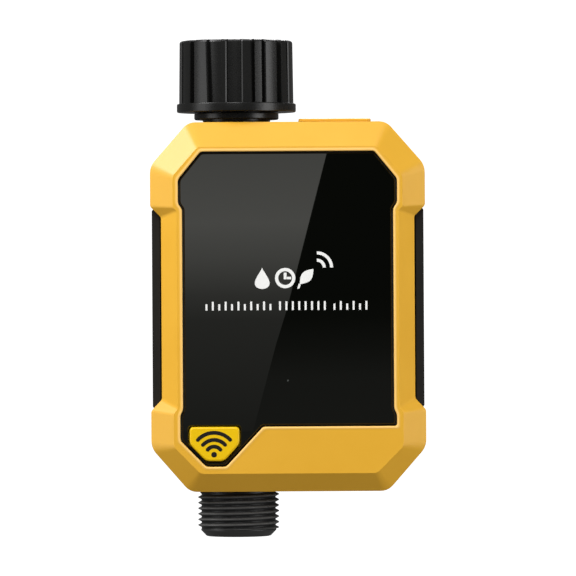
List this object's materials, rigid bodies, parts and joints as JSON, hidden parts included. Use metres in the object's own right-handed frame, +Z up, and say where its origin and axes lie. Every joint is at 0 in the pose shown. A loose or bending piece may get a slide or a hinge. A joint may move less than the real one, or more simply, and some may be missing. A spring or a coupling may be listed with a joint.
{
  "type": "irrigation controller",
  "caption": "Battery powered hose tap water timer: faceted case with a dark glass front, a push key, a swivel tap nut above and a threaded hose outlet below.",
  "frame": {"origin": "on the axis of the water way, at the upper sealing face of the tap washer inside the swivel nut", "axes": "+Z up along the water way towards the tap, -Y out of the front panel, +X to the right seen from the front"},
  "size_m": [0.0892, 0.0481, 0.1613],
  "materials": {
    "yellow_case": "satin moulded ABS",
    "yellow_button": "satin",
    "black_panel": "mirror gloss",
    "black_case": "fine spark texture",
    "black_fitting": "satin moulded nylon",
    "rubber_grip": "soft touch",
    "rubber_seal": "matt",
    "white_nylon": "natural nylon",
    "seat_plastic": "waxy",
    "polished_ball": "polished",
    "plated_steel": "zinc plated",
    "brass": "machined",
    "board": "solder mask",
    "cell": "printed sleeve on a metal can",
    "led_lens": "clear"
  },
  "bodies": {
    "case": {"front_bezel": "yellow_case", "front_panel": "black_panel", "panel_carrier": "black_case", "rear_shell": "black_case", "battery_chamber": "black_case", "inlet_tailpiece": "black_fitting", "inlet_collar": "black_fitting", "outlet_fitting": "black_fitting", "side_grip_left": "rubber_grip", "side_grip_right": "rubber_grip", "case_seal_left": "rubber_seal", "case_seal_right": "rubber_seal", "inlet_washer": "rubber_seal", "tact_switch": "rubber_seal", "reservoir_capacitor": "rubber_seal", "valve_body": "white_nylon", "gearbox_base": "white_nylon", "gearbox_cover": "white_nylon", "ball_seat_upper": "seat_plastic", "ball_seat_lower": "seat_plastic", "case_screw_1": "plated_steel", "case_screw_2": "plated_steel", "case_screw_3": "plated_steel", "case_screw_4": "plated_steel", "board_screw_1": "plated_steel", "board_screw_2": "plated_steel", "board_screw_3": "plated_steel", "board_screw_4": "plated_steel", "gearbox_screw_1": "plated_steel", "gearbox_screw_2": "plated_steel", "filter_screen": "plated_steel", "gear_pin": "plated_steel", "motor": "plated_steel", "wireless_module": "plated_steel", "circuit_board": "board", "status_led": "led_lens"},
    "tap_nut": {"inlet_nut": "black_fitting"},
    "key": {"button": "yellow_button"},
    "battery_drawer": {"battery_cap": "yellow_case", "battery_tray": "black_case", "cap_seal": "rubber_seal", "battery_cell_1": "cell", "battery_cell_2": "cell", "battery_cell_3": "cell", "battery_cell_4": "cell", "contact_spring_1": "plated_steel", "contact_spring_2": "plated_steel", "contact_bridge": "plated_steel"},
    "valve_train": {"valve_ball": "polished_ball", "valve_stem": "brass", "stem_o_ring": "rubber_seal", "valve_gear": "white_nylon"},
    "reduction": {"reduction_gear": "white_nylon"},
    "motor_rotor": {"motor_pinion": "brass"}
  },
  "joints": [
    {"name": "nut_spin", "type": "hinge", "parent": "case", "child": "tap_nut", "pos_m": [0, 0, -0.005], "axis": [0, 0, 1], "continuous": true},
    {"name": "button_press", "type": "slide", "parent": "case", "child": "key", "axis": [0, 1, 0], "range_m": [0, 0.0008], "stiffness_N_per_m": 1500, "springref_m": -0.0004},
    {"name": "drawer_slide", "type": "slide", "parent": "case", "child": "battery_drawer", "axis": [0, 0, 1], "range_m": [0, 0.108]},
    {"name": "valve_turn", "type": "hinge", "parent": "case", "child": "valve_train", "pos_m": [0, 0, -0.0936], "axis": [1, 0, 0], "range_deg": [0, 90]},
    {"name": "reduction_turn", "type": "hinge", "parent": "case", "child": "reduction", "pos_m": [-0.0184, 0.004, -0.08018], "axis": [1, 0, 0], "range_deg": [-271, 1]},
    {"name": "motor_turn", "type": "hinge", "parent": "case", "child": "motor_rotor", "pos_m": [-0.0184, 0.0142, -0.07059], "axis": [1, 0, 0], "range_deg": [-1, 811]}
  ],
  "couplings": [
    {"joint": "reduction_turn", "follows": "valve_turn", "ratio": -3},
    {"joint": "motor_turn", "follows": "valve_turn", "ratio": 9}
  ]
}
